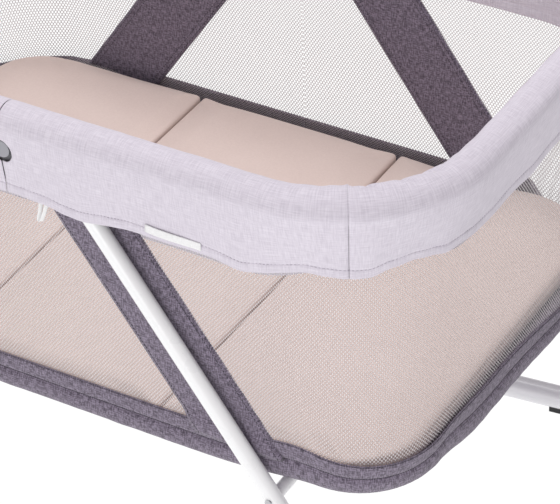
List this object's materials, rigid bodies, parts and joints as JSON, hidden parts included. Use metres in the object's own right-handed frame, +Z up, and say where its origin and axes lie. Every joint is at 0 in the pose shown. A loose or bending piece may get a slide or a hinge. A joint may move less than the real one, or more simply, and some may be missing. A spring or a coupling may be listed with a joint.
{
  "type": "travel play yard",
  "caption": "Elevated travel crib: a net basket with a folding foam pad hangs in a padded rim that hinges at two side hubs, on A-shaped tube leg frames that fold.",
  "frame": {"origin": "on the floor, under the middle of the basket", "axes": "+X along the basket's length, +Y across it to the far side of the picture, +Z up"},
  "size_m": [1.2224, 0.726, 0.7699],
  "materials": {
    "hub_plastic": "fine-grained moulded plastic",
    "pin_steel": "zinc plated",
    "button_plastic": "polished moulded plastic",
    "net": "white knitted net",
    "dark_cloth": "dark grey heathered canvas",
    "floor_cloth": "dark woven cloth over a stiff backing",
    "sleeve_cloth": "pale lavender grey heathered cloth",
    "white_tape": "woven polyester tape",
    "rim_steel": "bare drawn tube",
    "foam": "slit polyurethane foam",
    "leg_paint": "gloss white powder coat",
    "socket_plastic": "light grey moulded plastic",
    "foot_paint": "silver-grey satin powder coat",
    "rubber": "matt",
    "board": "hardboard",
    "pad_cloth": "smooth cream polyester over wadding"
  },
  "bodies": {
    "basket": {"hub_body_near": "hub_plastic", "hub_body_far": "hub_plastic", "hub_cover_near": "hub_plastic", "hub_cover_far": "hub_plastic", "hub_screws": "pin_steel", "rim_pivot_pins": "pin_steel", "leg_pivot_pins": "pin_steel", "button_spring_near": "pin_steel", "button_spring_far": "pin_steel", "wall_left": "net", "wall_right": "net", "border_band": "dark_cloth", "floor_panel": "floor_cloth", "band_near_left": "dark_cloth", "band_near_right": "dark_cloth", "band_far_left": "dark_cloth", "band_far_right": "dark_cloth", "tape_loop": "white_tape"},
    "rim_left": {"rim_tube_left": "rim_steel", "rim_foam_left": "foam", "rim_knuckles_left": "hub_plastic", "sleeve_left": "sleeve_cloth"},
    "leg_frame_left": {"leg_near_left": "leg_paint", "leg_far_left": "leg_paint", "leg_knuckles_left": "hub_plastic", "cross_tube_left": "leg_paint", "leg_rivets_left": "pin_steel", "leg_sockets_left": "socket_plastic", "foot_tube_left": "foot_paint", "foot_caps_left": "socket_plastic", "foot_pads_left": "rubber"},
    "rim_right": {"rim_tube_right": "rim_steel", "rim_foam_right": "foam", "rim_knuckles_right": "hub_plastic", "sleeve_right": "sleeve_cloth", "hem_tag": "white_tape"},
    "leg_frame_right": {"leg_near_right": "leg_paint", "leg_far_right": "leg_paint", "leg_knuckles_right": "hub_plastic", "cross_tube_right": "leg_paint", "leg_rivets_right": "pin_steel", "leg_sockets_right": "socket_plastic", "foot_tube_right": "foot_paint", "foot_caps_right": "socket_plastic", "foot_pads_right": "rubber"},
    "pad_middle": {"pad_middle": "pad_cloth", "pad_board_middle": "board"},
    "pad_left": {"pad_left": "pad_cloth", "pad_board_left": "board"},
    "pad_right": {"pad_right": "pad_cloth", "pad_board_right": "board"},
    "button_near": {"release_button_near": "button_plastic"},
    "button_far": {"release_button_far": "button_plastic"}
  },
  "joints": [
    {"name": "leg_fold_right", "type": "hinge", "parent": "basket", "child": "leg_frame_right", "pos_m": [0.073, 0, 0.69], "axis": [0, 1, 0], "range_deg": [0, 23]},
    {"name": "leg_fold_left", "type": "hinge", "parent": "basket", "child": "leg_frame_left", "pos_m": [-0.073, 0, 0.69], "axis": [0, -1, 0], "range_deg": [0, 23]},
    {"name": "rim_fold_right", "type": "hinge", "parent": "basket", "child": "rim_right", "pos_m": [0.038, 0, 0.746], "axis": [0, 1, 0], "range_deg": [0, 33], "deforming": ["wall_right", "band_near_right", "band_far_right", "sleeve_right", "hem_tag"]},
    {"name": "rim_fold_left", "type": "hinge", "parent": "basket", "child": "rim_left", "pos_m": [-0.038, 0, 0.746], "axis": [0, -1, 0], "range_deg": [0, 33], "deforming": ["wall_left", "band_near_left", "band_far_left", "sleeve_left"]},
    {"name": "pad_lift", "type": "slide", "parent": "basket", "child": "pad_middle", "axis": [0, 0, 1], "range_m": [0, 0.45]},
    {"name": "pad_fold_right", "type": "hinge", "parent": "pad_middle", "child": "pad_right", "pos_m": [0.1537, 0, 0.36], "axis": [0, -1, 0], "range_deg": [0, 110]},
    {"name": "pad_fold_left", "type": "hinge", "parent": "pad_middle", "child": "pad_left", "pos_m": [-0.1537, 0, 0.36], "axis": [0, 1, 0], "range_deg": [0, 110]},
    {"name": "press_near", "type": "slide", "parent": "basket", "child": "button_near", "axis": [0, 1, 0], "range_m": [0, 0.004], "stiffness_N_per_m": 900, "springref_m": -0.001, "deforming": ["button_spring_near"]},
    {"name": "press_far", "type": "slide", "parent": "basket", "child": "button_far", "axis": [0, -1, 0], "range_m": [0, 0.004], "stiffness_N_per_m": 900, "springref_m": -0.001, "deforming": ["button_spring_far"]}
  ],
  "couplings": [
    {"joint": "leg_fold_left", "follows": "leg_fold_right", "ratio": 1},
    {"joint": "rim_fold_left", "follows": "rim_fold_right", "ratio": 1}
  ]
}
